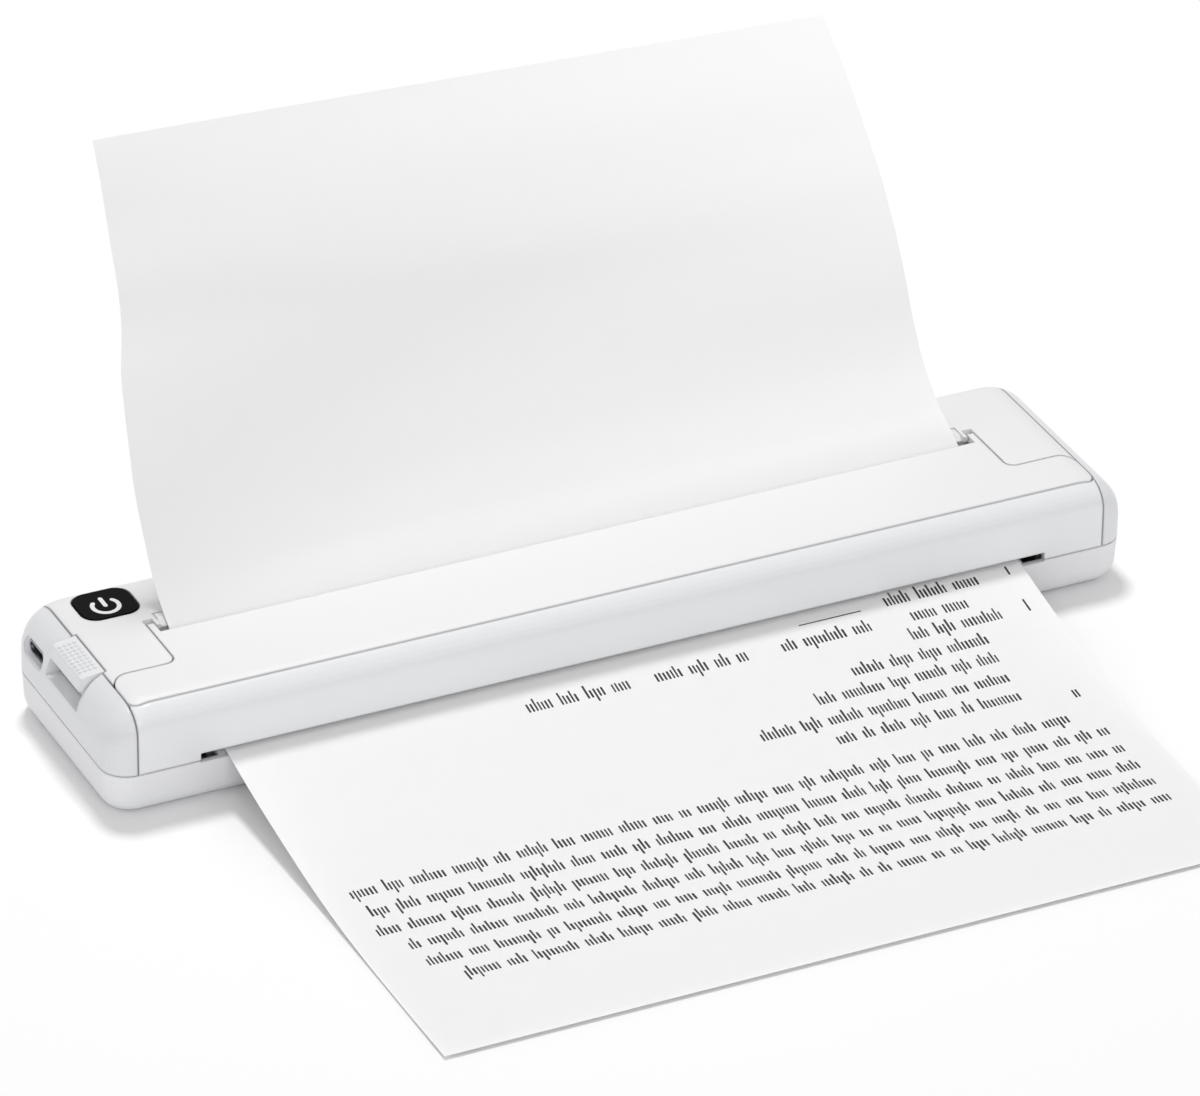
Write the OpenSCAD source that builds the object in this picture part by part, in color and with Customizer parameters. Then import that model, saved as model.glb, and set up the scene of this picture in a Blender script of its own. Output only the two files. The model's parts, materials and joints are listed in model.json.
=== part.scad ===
// Portable A4 thermal printer with a hinged cover, drawn with a sheet in its paper path.
// Millimetres. X runs along the printer to the right, -Y is the front where the paper
// leaves, Z is up. The origin is the centre of the underside.

/* [Housing] */
// Room from the edge of the sheet to the end of the housing
end_room = 29.5; // [28.5:0.5:34]
// Overall depth of the housing
body_d = 59.6; // [58:0.2:66]
// Height of the top face above the table
body_h = 28.8; // [28.4:0.2:32]
// Height of the parting line between the tray and the upper mouldings
split_z = 11.5; // [11.2:0.1:12.4]
// Wall thickness of the mouldings
wall = 1.6; // [1.3:0.1:1.8]
// Corner radius of the housing in plan
corner_r = 6.8; // [5:0.2:8.4]
// Radius of the roll over each end
end_r = 11.3; // [9:0.1:12]
// Radius of the roll over the front and rear edges
edge_r = 7; // [5.4:0.1:7.6]
// Radius of the tray's bottom edge
bottom_r = 4.5; // [3:0.1:5]
// Length of each end cap
cap_l = 7; // [6.6:0.1:8]
// Open joint between neighbouring mouldings
seam = 0.4; // [0.3:0.05:0.6]

/* [Cover and hinge] */
// Distance from the front face to the deck behind the paper inlet
deck_back = 34.3; // [33:0.1:35]
// Width of the paper inlet, front to rear
inlet_gap = 3; // [2.6:0.1:3.4]
// Room from the edge of the sheet to the side of the cover's neck
neck_room = 5; // [4.4:0.1:6]
// Radius of the rounded ends of the cover's shoulders
shoulder_r = 4; // [3:0.1:5]
// Radius of the other corners of the cover and the deck
small_r = 2.4; // [1:0.1:3]
// Distance from the front face to the cover's shoulder
shoulder_d = 17.3; // [16.6:0.1:18]
// Distance from the front face to the seam on the top
front_seam = 4.3; // [3.6:0.1:5]
// Radius of each hinge knuckle
knuckle_r = 2.4; // [2:0.1:2.6]
// Radius of each hinge pin
pin_r = 1; // [0.7:0.05:1.3]

/* [Paper] */
// Width of the sheet
paper_w = 210; // [200:1:210]
// How far the sheet reaches in front of the housing
sheet_reach = 121.2; // [114:0.1:125]
// Height of the sheet's left rear corner above the inlet
left_rise = 110.2; // [104:0.1:114]
// Height of the sheet's right rear corner above the inlet
right_rise = 81.9; // [78:0.1:86]
// Thickness of the sheet in the model
paper_t = 0.12; // [0.08:0.01:0.16]
// Clearance over and under the sheet at the print line
nip_gap = 0.15; // [0.1:0.01:0.2]
// Slope of the sheet at the print line in degrees
nip_slope = 18; // [14:1:20]
// Height of the outlet slot
outlet_h = 2.5; // [2.2:0.1:3]
// Room from the edge of the sheet to the end of the outlet slot
outlet_room = 6.6; // [3:0.2:7]

/* [Feed mechanism] */
// Radius of the platen roller's rubber
platen_r = 4.5; // [4:0.1:4.8]
// Length of the platen's rubber beyond the sheet, at each end
platen_over = 1.5; // [0.5:0.1:2]
// Distance from the front face to the platen's axis
platen_back = 15.2; // [14.8:0.1:15.8]
// Module of the feed gears
gear_m = 0.5; // [0.48:0.01:0.52]
// Teeth of the platen gear
platen_teeth = 26; // [24:1:27]
// Teeth of the small and the large wheel of the idler
idler_teeth = [14, 36]; // 13 to 15 and 34 to 37
// Teeth of the motor's pinion
pinion_teeth = 12; // [11:1:13]
// Face width of each gear
gear_w = 2.2; // [1.8:0.1:2.4]
// Radius of the stepper motor
motor_r = 9; // [8:0.1:9.4]
// Length of the stepper motor
motor_l = 16; // [12:0.5:20]

/* [Controls] */
// Size of the power button, along and across
button_size = [14.3, 12.3]; // [12:0.1:15]
// Centre of the power button from the left seam and from the rear face
button_at = [12.2, 11.5]; // [11:0.1:13]
// Travel of the power button
button_travel = 0.8; // [0.4:0.1:1]
// Length of the latch along the end
latch_len = 17.6; // [15:0.2:19]
// Travel of the latch
latch_travel = 2.5; // [1:0.1:2.6]

/* [Power and electronics] */
// Radius of a battery cell
cell_r = 9.1; // [8.5:0.1:9.2]
// Length of a battery cell
cell_l = 65; // [60:0.5:67]
// Thickness of the circuit board
board_t = 1.6; // [1.2:0.1:1.8]
// Room from the circuit board up to the roof
board_room = 8.6; // [8.2:0.1:9]

/* [Hidden] */
$fn = 48;
body_l = paper_w + 2 * end_room;
hl = body_l / 2;
cover_neck = paper_w / 2 + neck_room;
outlet_half = paper_w / 2 + outlet_room;
platen_half = paper_w / 2 + platen_over;
hd = body_d / 2;
cap_x = hl - cap_l;
half_seam = seam / 2;
part_gap = 0.15;
draft = 0.05;
eps = 0.1;
deck_y = -hd + deck_back;
cover_y = deck_y - inlet_gap;
shoulder_y = -hd + shoulder_d;
panel_y = -hd + front_seam;
hinge_y = deck_y + 0.4;
hinge_z = body_h - knuckle_r;
arm_w = 1.7;
roof_z = body_h - wall;
rim_z = split_z - part_gap;
// print line and gear centres
platen_y = -hd + platen_back;
platen_z = split_z - 1.2;
nip_n = platen_r + nip_gap + paper_t / 2;
nip_y = platen_y - sin(nip_slope) * nip_n;
nip_z = platen_z + cos(nip_slope) * nip_n;
frame_x = platen_half + 6.1;
frame_t = 1.2;
gear_x = frame_x + frame_t + 1.4;
wheel_gap = 0.4;
backlash = 0.07;
mesh_1 = gear_m * (platen_teeth + idler_teeth[0]) / 2;
mesh_2 = gear_m * (idler_teeth[1] + pinion_teeth) / 2;
idler_dir = 16.3;
pinion_dir = 2;
idler_y = platen_y + mesh_1 * cos(idler_dir);
idler_z = platen_z + mesh_1 * sin(idler_dir);
pinion_y = idler_y + mesh_2 * cos(pinion_dir);
pinion_z = idler_z + mesh_2 * sin(pinion_dir);
bush_r = 4;
journal_r = 2;
run_gap = 0.05;
axle_r = 1;
// controls, on the left end
button_x = -cap_x + button_at[0];
button_y = hd - button_at[1];
button_gap = 0.4;
latch_y = hd - 29.6;
latch_z = body_h - 9.7;
latch_gap = 0.4;
hook_y = [-hd + 11.2, -hd + 14.2];
hook_z = [body_h - 8.9, body_h - 7.3];
// rear compartment
cell_y = hd - 11.6;
cell_z = 1.6 + 1.4 + cell_r;
usb_y = hd - 12.1;
usb_size = [8.9, 3.3];
board_z = roof_z - board_room;
usb_z = board_z + usb_size[1] / 2;
board_y = hd - 21.6;
// middle of the battery pack, and the feet's and the board's places from the ends
pack_x = 134.5 - hl;
foot_in = [27, 9];
foot_r = 4.1;
board_x = 58.5 - hl;
board_d = 19.6;
tongue_x = 15.9 - hl;
tongue_half = 4.2;
screw_at = [[-hl + 50.5, hd - 7.8], [pack_x + 84, hd - 7.8], [-cap_x + 7.5, 2], [cap_x - 5.5, hd - 5.8]];
screw_r = 1.1;
stud_at = [[board_x - 3, board_y + 3], [board_x - 3, board_y + 17], [tongue_x - 1.4, board_y + 3],
    [board_x - 25, board_y + 17]];

// ---- outer form: rings of rounded rectangles, stacked --------------------------------

function corner(cx, cy, r, q, z) = [for (i = [0:8]) let (a = q * 90 + i * 11.25)
    [cx + r * cos(a), cy + r * sin(a), z]];
function ring(hx, hy, r, z) = concat(corner(hx - r, hy - r, r, 0, z), corner(r - hx, hy - r, r, 1, z),
    corner(r - hx, r - hy, r, 2, z), corner(hx - r, r - hy, r, 3, z));
// how far a quarter round of radius r has come in, at height t above its centre
function drop(r, t) = t <= 0 ? 0 : r - sqrt(max(0, r * r - t * t));

// upper half of the form, its surface moved in by w
function top_ring(z, w) = let (dx = w + drop(end_r - w, z - body_h + end_r),
    dy = w + drop(edge_r - w, z - body_h + edge_r))
    ring(hl - dx, hd - dy, max(0.6, corner_r - w - 0.5 * (dy - w)), z);
function top_levels(w) = concat([split_z - 2, body_h - end_r, body_h - (end_r + edge_r) / 2],
    [for (a = [0:11.25:90]) body_h - edge_r + (edge_r - w) * sin(a)]);
// lower half of the form, drafted, with a rounded bottom edge
function low_ring(z, w) = let (d = drop(bottom_r - w, bottom_r - z))
    ring(hl - w - d - draft * max(0, split_z - z), hd - w - d - draft * max(0, split_z - z),
        max(0.6, corner_r - w - 0.6 * d), z);
function low_levels(w) = concat([for (a = [90:-22.5:0]) bottom_r - (bottom_r - w) * sin(a)],
    [split_z + 1]);

module loft(rings) {
    m = len(rings[0]);
    n = len(rings);
    polyhedron(points = [for (r = rings) each r], faces = concat(
        [[for (i = [0:m - 1]) i], [for (i = [m - 1:-1:0]) (n - 1) * m + i]],
        [for (k = [0:n - 2], i = [0:m - 1]) [k * m + i, (k + 1) * m + i, (k + 1) * m + (i + 1) % m]],
        [for (k = [0:n - 2], i = [0:m - 1]) [k * m + i, (k + 1) * m + (i + 1) % m, k * m + (i + 1) % m]]));
}

module upper_form(w = 0) loft([for (z = top_levels(w)) top_ring(z, w)]);
module lower_form(w = 0) loft([for (z = low_levels(w)) low_ring(z, w)]);

// ---- small shared shapes -------------------------------------------------------------

module span(x0, x1, y0, y1, z0, z1) translate([x0, y0, z0]) cube([x1 - x0, y1 - y0, z1 - z0]);
module both() {
    children();
    mirror([1, 0, 0]) children();
}
// cylinder along X
module rod(x0, x1, y, z, r) translate([x0, y, z]) rotate([0, 90, 0]) cylinder(h = x1 - x0, r = r);
// profile of [y, z] points drawn out along X
module strip(x0, x1, pts) translate([x0, 0, 0]) rotate([90, 0, 90]) linear_extrude(x1 - x0) polygon(pts);
// profile of [x, z] points drawn out along Y
module cross(y0, y1, pts) translate([0, y1, 0]) rotate([90, 0, 0]) linear_extrude(y1 - y0) polygon(pts);
module rrect(w, h, r) {
    square([w, h - 2 * r], center = true);
    square([w - 2 * r, h], center = true);
    for (x = [-1, 1], y = [-1, 1]) translate([x * (w / 2 - r), y * (h / 2 - r)]) circle(r);
}
// inside of the upper mouldings, cut off square at x0 and x1 and in front at y0
module roof_space(x0, x1, y0, r = edge_r - wall) {
    y1 = hd - wall;
    translate([x0, 0, 0]) rotate([90, 0, 90]) linear_extrude(x1 - x0) {
        translate([y0, split_z - 1]) square([y1 - r - y0, roof_z - split_z + 1]);
        translate([y0, split_z - 1]) square([y1 - y0, roof_z - r - split_z + 1]);
        translate([y1 - r, roof_z - r]) circle(r);
    }
}
// the same, open to the front roll instead of the rear one
module front_space(x0, x1, y1, z0) mirror([0, 1, 0]) {
    r = edge_r - wall;
    y0 = hd - wall;
    translate([x0, 0, 0]) rotate([90, 0, 90]) linear_extrude(x1 - x0) {
        translate([-y1, z0]) square([y0 - r + y1, roof_z - z0]);
        translate([-y1, z0]) square([y0 + y1, roof_z - r - z0]);
        translate([y0 - r, roof_z - r]) circle(r);
    }
}
// point s along the head's plane and n away from the sheet
function head_pt(s, n) = [nip_y + s * cos(nip_slope) - n * sin(nip_slope),
    nip_z + s * sin(nip_slope) + n * cos(nip_slope)];

// ---- housing -------------------------------------------------------------------------

// plan of what lies outside the cover's rounded shoulder end, g away from the cover
module shoulder_end(g) difference() {
    x = cap_x - half_seam - shoulder_r;
    y = shoulder_y - half_seam - shoulder_r;
    translate([x, y]) square([shoulder_r, shoulder_r + seam + 0.1]);
    translate([x, y]) circle(shoulder_r + g);
}
// plan of what lies outside the deck's rounded inner corner, g away from the deck
module neck_corner(g) difference() {
    x = cover_neck + seam;
    y = shoulder_y + half_seam;
    translate([x - seam - 0.1, y - seam - 0.1]) square(small_r + seam + 0.1);
    translate([x + small_r, y + small_r]) circle(small_r + g);
}
// plan of what lies outside the cover's rounded front corner, g away from the cover
module front_corner(g) difference() {
    x = cap_x - half_seam - small_r;
    y = panel_y + half_seam + small_r;
    translate([x, y - small_r - seam - 0.1]) square([small_r, small_r + seam + 0.1]);
    translate([x, y]) circle(small_r + g);
}

module lower_shell() color("#dcdee0") {
    difference() {
        union() {
            difference() {
                lower_form();
                lower_form(wall);
                span(-hl - 1, hl + 1, -hd - 1, hd + 1, rim_z, split_z + 2);
                span(-outlet_half, outlet_half, -hd - 1, -hd + 8, split_z - 0.5, split_z + 2);
            }
            // trough in front of the platen, which the sheet slides over
            strip(-platen_half, platen_half, [[-hd + wall - 0.2, 1.5], [-hd + wall - 0.2, split_z - 0.5],
                [platen_y - platen_r - 1.3, split_z + 1.2], [platen_y - platen_r - 1.3, 1.5],
                [platen_y - platen_r - 2.6, 1.5], [platen_y - platen_r - 2.6, split_z - 0.6],
                [-hd + wall + 1.2, split_z - 2.2], [-hd + wall + 1.2, 1.5]]);
            for (p = screw_at) translate([p[0], p[1], 1]) cylinder(h = split_z - 2.5, r = 3.6);
            for (p = stud_at) translate([p[0], p[1], 1]) {
                cylinder(h = board_z - board_t - 1, r = 2);
                cylinder(h = board_z - 0.4, r = 1);
            }
            // ribs that stiffen the floor under the battery
            for (i = [-5:2:5]) translate([pack_x + i * 12, 0, 0])
                span(-0.6, 0.6, cell_y - 12, cell_y - 10.5, 1, 5);
        }
        for (p = screw_at) translate([p[0], p[1], -1]) {
            cylinder(h = split_z + 2, r = screw_r + 0.2);
            cylinder(h = 3.4, r = 2.4);
        }
        both() for (y = [-1, 1]) translate([hl - foot_in[0], y * (hd - foot_in[1]), -1])
            cylinder(h = 1.8, r = foot_r + 0.1);
        both() for (y = [0, 12]) translate([frame_x - 2.4, platen_y + 2.4 + y, 0.6]) cylinder(h = 3, r = 1);
    }
}

module rear_deck() color("#f4f5f7") difference() {
    union() {
        intersection() {
            upper_form();
            difference() {
                union() {
                    span(-cap_x + half_seam, cap_x - half_seam, deck_y, hd + 1,
                        split_z + part_gap, body_h + 1);
                    both() span(cover_neck + seam, cap_x - half_seam, shoulder_y + half_seam, deck_y + 1,
                        split_z + part_gap, body_h + 1);
                    both() translate([0, 0, roof_z]) linear_extrude(wall + 1) shoulder_end(seam);
                }
                both() linear_extrude(body_h + 1) neck_corner(0);
                roof_space(-cap_x + half_seam + wall, cap_x - half_seam - wall, deck_y + wall + 0.4);
                both() roof_space(frame_x - 0.2, cap_x - half_seam - wall, shoulder_y + half_seam + wall);
                // shoulder walls stop above the gears and frames, and the inlet wall above the guide
                both() span(frame_x - 1, cap_x - half_seam - wall, shoulder_y - 1, shoulder_y + 3,
                    split_z, roof_z - 3.8);
                both() span(cover_neck - 1, frame_x, shoulder_y - 1, deck_y + 4, split_z, roof_z - 4);
                span(-cover_neck - 1, cover_neck + 1, deck_y - 1, deck_y + wall + 1, split_z, roof_z - 4);
            }
        }
        // screw bosses under the roof
        for (p = screw_at) translate([p[0], p[1], split_z - 1.2])
            cylinder(h = roof_z - split_z + 1.4, r = 2.8);
        both() span(cover_neck + seam, frame_x - 0.2, deck_y + 1, hinge_y + 4, roof_z - 4, roof_z + 0.2);
    }
    for (p = screw_at) translate([p[0], p[1], split_z - 2]) cylinder(h = 12, r = screw_r);
    // sloped lip that leads the sheet in
    strip(-paper_w / 2 - 1.8, paper_w / 2 + 1.8, [[deck_y - 1, body_h - 2.4], [deck_y + 3, body_h + 0.1],
        [deck_y - 1, body_h + 0.1]]);
    // pockets for the cover's knuckles, and the bores of their pins
    both() span(cover_neck - arm_w - 0.4, cover_neck + seam, deck_y - 1, hinge_y + knuckle_r + 0.3,
        split_z, body_h + 1);
    rod(-frame_x - 1, frame_x + 1, hinge_y, hinge_z, pin_r + run_gap);
    translate([button_x, button_y, roof_z - 2]) linear_extrude(wall + 4)
        rrect(button_size[0] + 2 * button_gap, button_size[1] + 2 * button_gap, 4.2);
    span(-cap_x - 1, -cap_x + 3, usb_y - 5, usb_y + 5, board_z - board_t - 0.4, board_z + 4.2);
    // engraved marks beside the inlet: a line rearward and its foot toward the sheet
    both() {
        span(paper_w / 2 + 1.65, paper_w / 2 + 2, hinge_y - 0.4, hinge_y + 5, body_h - 0.3, body_h + 1);
        span(paper_w / 2 - 1, paper_w / 2 + 2, hinge_y + 4.65, hinge_y + 5, body_h - 0.3, body_h + 1);
    }
    // notch for the latch's top plate
    span(-cap_x - 1, -cap_x + 0.6 + latch_gap, latch_y - latch_len / 2 - latch_gap,
        latch_y + latch_len / 2 + latch_gap, body_h - 2.7, body_h + 1);
}

module end_cap() {
    difference() {
        intersection() {
            upper_form();
            span(cap_x + half_seam, hl + 1, -hd - 1, hd + 1, split_z + part_gap, body_h + 1);
        }
        upper_form(wall);
    }
    // ribs that seat on the deck's end wall
    for (y = [-6.6, hd - 7]) translate([0, y, split_z])
        span(cap_x - half_seam, hl - wall + 0.3, 0, 1.4, 0.8, 5.6);
}

module right_end_cap() color("#e4e6e8") end_cap();

module left_end_cap() color("#d6d8da") {
    y0 = latch_y - latch_len / 2 - latch_gap;
    y1 = latch_y + latch_len / 2 + latch_gap;
    difference() {
        union() {
            mirror([1, 0, 0]) end_cap();
            // pocket that the latch slides in
            intersection() {
                span(-hl - 1, -cap_x - half_seam, y0 - 1.2, y1 + 0.8, latch_z - 1.2, body_h);
                upper_form(wall - 0.3);
            }
        }
        span(-hl - 1, -cap_x + 1, y0, y1, latch_z, body_h + 1);
        // gap in the pocket's wall for the hook
        span(-hl + wall + 0.3, -cap_x + 1, y0 - 2, y0 + 1, hook_z[0] - 0.4, hook_z[1] + 0.4);
        // hole for the socket, and the shallow recess round it for the plug
        for (cut = [[7, 0.6, 1.9], [1.3, 2, 2.6]]) translate([-hl + cut[0], usb_y, usb_z])
            rotate([90, 0, -90]) linear_extrude(9)
                rrect(usb_size[0] + cut[1], usb_size[1] + cut[1], cut[2]);
    }
}

module rubber_feet() color("#3a3b3d") both() for (y = [-1, 1])
    translate([hl - foot_in[0], y * (hd - foot_in[1]), 0]) cylinder(h = 0.8, r = foot_r);

module case_screws() color("#b9bcc0") for (p = screw_at) translate([p[0], p[1], 0.7]) difference() {
    union() {
        cylinder(h = 1.7, r = 2);
        cylinder(h = 15, r = screw_r);
    }
    translate([0, 0, -0.1]) for (a = [0, 90]) rotate([0, 0, a]) span(-1.2, 1.2, -0.25, 0.25, 0, 0.9);
}

// ---- cover ---------------------------------------------------------------------------

module cover_top() color("#f6f7f9") difference() {
    union() {
        intersection() {
            upper_form();
            difference() {
                union() {
                    span(-cap_x + half_seam, cap_x - half_seam, panel_y + half_seam,
                        shoulder_y - half_seam, 15, body_h + 1);
                    span(-cover_neck, cover_neck, shoulder_y - 1, cover_y, 20, body_h + 1);
                    both() translate([0, 0, roof_z]) linear_extrude(wall + 1) neck_corner(seam);
                }
                both() linear_extrude(body_h + 1) {
                    shoulder_end(0);
                    front_corner(0);
                }
                front_space(-cap_x + half_seam + wall, cap_x - half_seam - wall, hd, 10);
                // rounded outer corners of the shoulders
                both() span(cap_x - half_seam - wall - 1, cap_x, shoulder_y - 5, shoulder_y, 10, 24.5);
            }
        }
        // knuckle arms
        both() {
            span(cover_neck - arm_w, cover_neck, cover_y - 5, hinge_y, hinge_z - knuckle_r, body_h);
            rod(cover_neck - arm_w, cover_neck, hinge_y, hinge_z, knuckle_r);
        }
    }
    rod(-frame_x - 1, frame_x + 1, hinge_y, hinge_z, pin_r);
    // window in the left skirt that the latch's hook faces
    span(-cap_x, -cap_x + 3, hook_y[0] - 0.6, hook_y[1] + 0.6, hook_z[0] - 0.6, hook_z[1] + 0.8);
}

module front_panel() color("#dfe1e4") difference() {
    intersection() {
        upper_form();
        union() {
            span(-cap_x + half_seam, cap_x - half_seam, -hd - 1, panel_y - half_seam,
                split_z + part_gap, body_h + 1);
            both() translate([0, 0, roof_z - wall]) linear_extrude(2 * wall + 1) front_corner(seam);
        }
    }
    front_space(-cap_x + half_seam + wall, cap_x - half_seam - wall, panel_y + 2, split_z - 1);
    span(-outlet_half, outlet_half, -hd - 1, panel_y + 1, split_z - 1, split_z - 0.5 + outlet_h);
}

module cover_frame() color("#c9ccd0") {
    y0 = -hd + edge_r + 0.2;
    y1 = shoulder_y + 4.6;
    difference() {
        span(-paper_w / 2 - 1, paper_w / 2 + 1, y0, y1, roof_z - wall, roof_z);
        // lightening slots between the ribs
        for (i = [-2.5:2.5]) translate([i * paper_w / 6, (y0 + y1) / 2, roof_z - wall - 1])
            linear_extrude(4) rrect(paper_w / 6 - 13, 7, 1.5);
    }
    // ribs that hold the head against its plane
    s0 = (y0 + 0.2 - nip_y + 3.6 * sin(nip_slope)) / cos(nip_slope);
    for (i = [-3:3]) translate([i * (paper_w + 0.4) / 6, 0, 0]) strip(-0.8, 0.8, [
        [y0 + 0.2, roof_z - wall + 0.3], head_pt(s0, 3.6), head_pt(1.4, 3.6),
        [head_pt(1.4, 3.6)[0] + 0.6, roof_z - 5], [y1 - 1, roof_z - wall], [y1 - 1, roof_z - wall + 0.3]]);
}

module tear_bar() color("#c8cbce") {
    z0 = split_z - 0.5 + outlet_h - 0.5;
    n = floor((2 * platen_half + 2) / 1.6);
    cross(-hd + wall, -hd + wall + 0.8, concat([[n * 0.8, z0 + 4], [-n * 0.8, z0 + 4]],
        [for (i = [0:n - 1]) each [[(i - n / 2) * 1.6, z0 + 0.8], [(i - n / 2 + 0.5) * 1.6, z0]]],
        [[n * 0.8, z0 + 0.8]]));
}

module hinge_pins() color("#c4c7ca") both()
    rod(cover_neck - arm_w - 0.2, frame_x - 0.3, hinge_y, hinge_z, pin_r);

module head_plate() color("#a9adb2") difference() {
    strip(-paper_w / 2 - 1, paper_w / 2 + 1,
        [head_pt(-7, 1.1), head_pt(1.6, 1.1), head_pt(1.6, 3.6), head_pt(-7, 3.6)]);
    for (i = [-2.5:2.5]) translate([i * paper_w / 6, head_pt(-4.4, 0)[0], nip_z]) rotate([nip_slope, 0, 0])
        cylinder(h = 12, r = 1.2);
}

module head_ceramic() color("#e9e6dc") union() {
    line = head_pt(0, paper_t / 2 + nip_gap + 0.4);
    strip(-paper_w / 2 - 0.6, paper_w / 2 + 0.6,
        [head_pt(-6.4, 0.42), head_pt(1.4, 0.42), head_pt(1.4, 1.1), head_pt(-6.4, 1.1)]);
    // raised print line
    rod(-paper_w / 2, paper_w / 2, line[0], line[1], 0.4);
}

module head_cable() color("#c98a3c") {
    // flat flexible cable folded back over the head, one bend at a time
    y1 = -hd + edge_r + 0.2;
    top = head_pt(-7.4, 4.5)[1];
    strip(-14, 14, [head_pt(-7, 1.2), head_pt(-7.9, 1.6), head_pt(-8.1, 3.6), head_pt(-7.4, 4.5),
        [y1, top], [y1, top - 0.15], head_pt(-7.38, 4.34), head_pt(-7.95, 3.55),
        head_pt(-7.75, 1.7), head_pt(-7, 1.35)]);
}

// ---- feed mechanism ------------------------------------------------------------------

module side_frame(y1) difference() {
    union() {
        strip(frame_x, frame_x + frame_t, [[platen_y - 6.4, wall], [y1, wall], [y1, roof_z - 8.2],
            [y1 - 2.5, roof_z - 5.7], [shoulder_y + 2.4, roof_z - 5.7], [platen_y - 6.4, platen_z + 5.6]]);
        span(frame_x - 4.6, frame_x + 0.1, platen_y - 2, platen_y + 17.4, wall, wall + 1.2);
    }
    rod(frame_x - 1, frame_x + 3, platen_y, platen_z, bush_r);
    for (y = [0, 12]) translate([frame_x - 2.4, platen_y + 2.4 + y, wall - 1]) cylinder(h = 4, r = 1);
}

module left_side_frame() color("#b4b8bd") mirror([1, 0, 0]) side_frame(board_y - 3);

module right_side_frame() color("#b4b8bd") difference() {
    side_frame(pinion_y + motor_r);
    rod(frame_x - 1, frame_x + 3, idler_y, idler_z, axle_r);
    rod(frame_x - 1, frame_x + 3, pinion_y, pinion_z, 3.4);
}

module frame_screws() color("#9a9ea3") both() for (y = [0, 12])
    translate([frame_x - 2.4, platen_y + 2.4 + y, 0.6]) {
        cylinder(h = wall + 0.6, r = 1);
        translate([0, 0, wall + 0.6]) cylinder(h = 1.2, r = 1.9);
    }

function spline(p, i, t) = let (a = p[max(0, i - 1)], b = p[i], c = p[i + 1], d = p[min(len(p) - 1, i + 2)])
    (b * 2 + (c - a) * t + (a * 2 - b * 5 + c * 4 - d) * t * t + (b * 3 - a - c * 3 + d) * t * t * t) / 2;
function smooth(p, steps) = concat([for (i = [0:len(p) - 2], s = [0:steps - 1]) spline(p, i, s / steps)],
    [p[len(p) - 1]]);

outlet_pt = [-hd, split_z + 0.7];
inlet_pt = [deck_y - 1.1, body_h - 1.8];
inner_path = [outlet_pt, [nip_y - 6.6, nip_z - 1.85], [nip_y, nip_z], [nip_y + 7.5, nip_z + 3.35],
    [inlet_pt[0] - 6, inlet_pt[1] - 4.7], inlet_pt];
front_path = [for (p = [[sheet_reach, 0.75], [111.2, 0.6], [98.2, 0.5], [82.3, 0.55], [65.3, 1.2], [48.3, 2.9],
    [32.3, 5.4], [18.3, 8], [6.5, 10.6]]) [-hd - p[0], p[1]]];
left_path = [for (p = [[4.9, 3.6], [9.8, 8.9], [14.4, 17.7], [18.4, 28.7], [22.9, 40.7], [26.4, 53.7],
    [27.9, 67.7], [29.9, 81.7], [35.4, 95.7], [43.4, left_rise]]) inlet_pt + p];
right_path = [for (p = [[5.6, 3.2], [11, 7.6], [16.5, 14], [22, 22.6], [27.5, 33.1], [35, 43.2], [44.4, 52.8],
    [54.9, 61.8], [66, 71.4], [78.8, right_rise]]) inlet_pt + p];

guide_half = cover_neck - arm_w - 0.6;
guide_drop = 0.75;
function guide_z(y) = lookup(y, smooth(inner_path, 2)) - guide_drop;

module paper_guide() color("#cfd2d5") {
    a = platen_y + platen_r + 1.2;
    e = deck_y - 0.3;
    row = [for (i = [0:8]) let (y = a + (e - a) * i / 8) [y, guide_z(y)]];
    strip(-frame_x, frame_x, [[a, 8], [a, guide_z(a) - 0.2], [a + 3.2, guide_z(a) - 0.2], [a + 3.2, 8]]);
    strip(-guide_half, guide_half, concat(row, [for (i = [8:-1:0]) row[i] - [0, 1.5]]));
    // runners that the sheet slides on
    for (i = [-3.5:3.5]) translate([i * paper_w / 7.5, 0, 0]) strip(-0.7, 0.7,
        concat([for (q = row) q + [0, 0.3]], [for (k = [8:-1:0]) row[k] - [0, 0.4]]));
}

module paper_sensor() color("#26282b") {
    a = platen_y + platen_r + 1.2;
    span(24, 31, a + 3.2, a + 5.4, 8.6, 12);
    rod(25.5, 29.5, a + 4.3, 12, 0.9);
}

module platen_shaft() color("#c6c9cd") difference() {
    union() {
        rod(-platen_half, platen_half, platen_y, platen_z, 3);
        rod(-frame_x - frame_t - 0.9, gear_x + gear_w, platen_y, platen_z, journal_r);
    }
    span(gear_x - 0.2, gear_x + gear_w + 1, platen_y - 3, platen_y + 3, platen_z + 1.5, platen_z + 3);
}

module platen_rubber() color("#2b2c2e") difference() {
    rod(-platen_half, platen_half, platen_y, platen_z, platen_r);
    rod(-platen_half - 1, platen_half + 1, platen_y, platen_z, 3);
}

module platen_bushes() color("#3f4144") both() difference() {
    union() {
        rod(frame_x - 1, frame_x, platen_y, platen_z, bush_r + 1);
        rod(frame_x - 0.1, frame_x + frame_t + 0.8, platen_y, platen_z, bush_r);
    }
    rod(frame_x - 2, frame_x + 5, platen_y, platen_z, journal_r + run_gap);
}

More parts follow.
